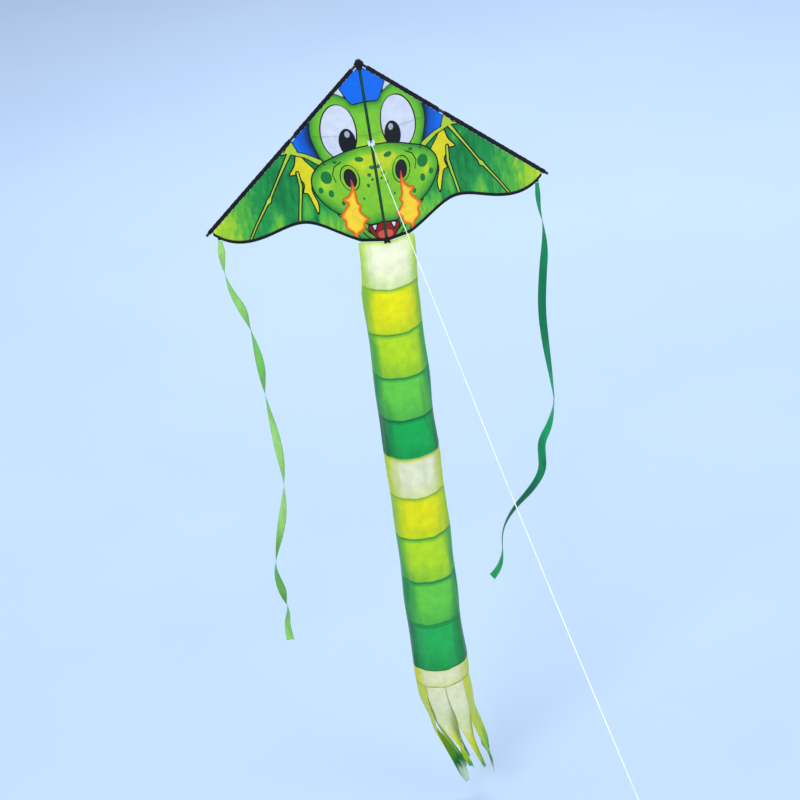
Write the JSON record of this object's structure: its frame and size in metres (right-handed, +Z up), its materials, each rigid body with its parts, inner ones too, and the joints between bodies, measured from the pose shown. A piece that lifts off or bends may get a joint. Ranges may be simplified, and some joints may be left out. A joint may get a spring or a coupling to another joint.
{
  "type": "delta kite",
  "caption": "Delta kite with a printed dragon sail in two wings, rod frame, tube tail with cut fringe, two streamers and a taut flying line.",
  "frame": {"origin": "axis of the spine rod at the height where the tow loop holds it", "axes": "+Z up along the spine rod to the nose, +X to the wing on the flyer's right, -Y out of the printed face to the flyer"},
  "size_m": [1.1348, 3.3651, 2.677],
  "materials": {
    "printed_sail": "woven printed polyester, semi-matt",
    "black_tape": "folded polyester tape, matt",
    "seam_cloth": "folded polyester sleeve, semi-matt",
    "rod_fibreglass": "pultruded fibreglass, black",
    "black_vinyl": "soft vinyl, satin",
    "moulded_socket": "moulded nylon, matt",
    "line_cord": "twisted polyester line, white",
    "tail_cloth": "thin printed polyester, translucent",
    "fringe_cloth": "thin printed polyester, cut into strips",
    "streamer_pale": "thin polyester ribbon, pale green",
    "streamer_dark": "thin polyester ribbon, dark green"
  },
  "bodies": {
    "spine": {"spine_rod": "rod_fibreglass", "spine_sleeve_upper": "seam_cloth", "spine_sleeve_lower": "seam_cloth", "spine_end_cap": "black_vinyl", "nose_cap": "black_vinyl", "nose_patch": "black_tape", "spine_stop_upper": "black_vinyl", "spine_stop_lower": "black_vinyl", "tail_tab": "black_tape", "tow_loop": "line_cord"},
    "left_wing": {"sail_left": "printed_sail", "trailing_binding_left": "black_tape", "edge_sleeve_upper_left": "black_tape", "edge_sleeve_lower_left": "black_tape", "edge_rod_left": "rod_fibreglass", "wingtip_cap_left": "black_vinyl", "edge_rod_cap_left": "black_vinyl", "edge_fitting_left": "black_vinyl", "spreader_rod_left": "rod_fibreglass", "spreader_socket_left": "moulded_socket", "streamer_tab_left": "black_tape"},
    "right_wing": {"sail_right": "printed_sail", "trailing_binding_right": "black_tape", "edge_sleeve_upper_right": "black_tape", "edge_sleeve_lower_right": "black_tape", "edge_rod_right": "rod_fibreglass", "wingtip_cap_right": "black_vinyl", "edge_rod_cap_right": "black_vinyl", "edge_fitting_right": "black_vinyl", "spreader_rod_right": "rod_fibreglass", "spreader_socket_right": "moulded_socket", "streamer_tab_right": "black_tape"},
    "left_streamer": {"streamer_left": "streamer_pale"},
    "right_streamer": {"streamer_right": "streamer_dark"},
    "tail_upper": {"tail_tube_upper": "tail_cloth"},
    "tail_lower": {"tail_tube_lower": "tail_cloth", "fringe_strip_1": "fringe_cloth", "fringe_strip_2": "fringe_cloth", "fringe_strip_3": "fringe_cloth", "fringe_strip_4": "fringe_cloth", "fringe_strip_5": "fringe_cloth", "fringe_strip_6": "fringe_cloth", "fringe_strip_7": "fringe_cloth", "fringe_strip_8": "fringe_cloth"},
    "line": {"line_noose": "line_cord", "flying_line": "line_cord", "line_end_loop": "line_cord"}
  },
  "joints": [
    {"name": "left_wing_fold", "type": "hinge", "parent": "spine", "child": "left_wing", "pos_m": [0, 0, 0], "axis": [0, 0, -1], "range_deg": [-22, 28]},
    {"name": "right_wing_fold", "type": "hinge", "parent": "spine", "child": "right_wing", "pos_m": [0, 0, 0], "axis": [0, 0, 1], "range_deg": [-22, 28]},
    {"name": "left_streamer_swing", "type": "hinge", "parent": "left_wing", "child": "left_streamer", "pos_m": [-0.52428, 0.20794, -0.324], "axis": [1, 0, 0], "range_deg": [-40, 35]},
    {"name": "right_streamer_swing", "type": "hinge", "parent": "right_wing", "child": "right_streamer", "pos_m": [0.52428, 0.20794, -0.324], "axis": [1, 0, 0], "range_deg": [-40, 35]},
    {"name": "tail_swing", "type": "hinge", "parent": "spine", "child": "tail_upper", "pos_m": [0, -0.0072, -0.347], "axis": [1, 0, 0], "range_deg": [-60, 30]},
    {"name": "tail_sway", "type": "hinge", "parent": "tail_upper", "child": "tail_lower", "pos_m": [-0.03, -0.001, -1.148], "axis": [0, 1, 0], "range_deg": [-20, 20]},
    {"name": "line_turn", "type": "hinge", "parent": "spine", "child": "line", "pos_m": [0, -0.014, 0], "axis": [0, 0, 1], "range_deg": [-30, 30]}
  ],
  "couplings": [
    {"joint": "right_wing_fold", "follows": "left_wing_fold", "ratio": 1}
  ]
}
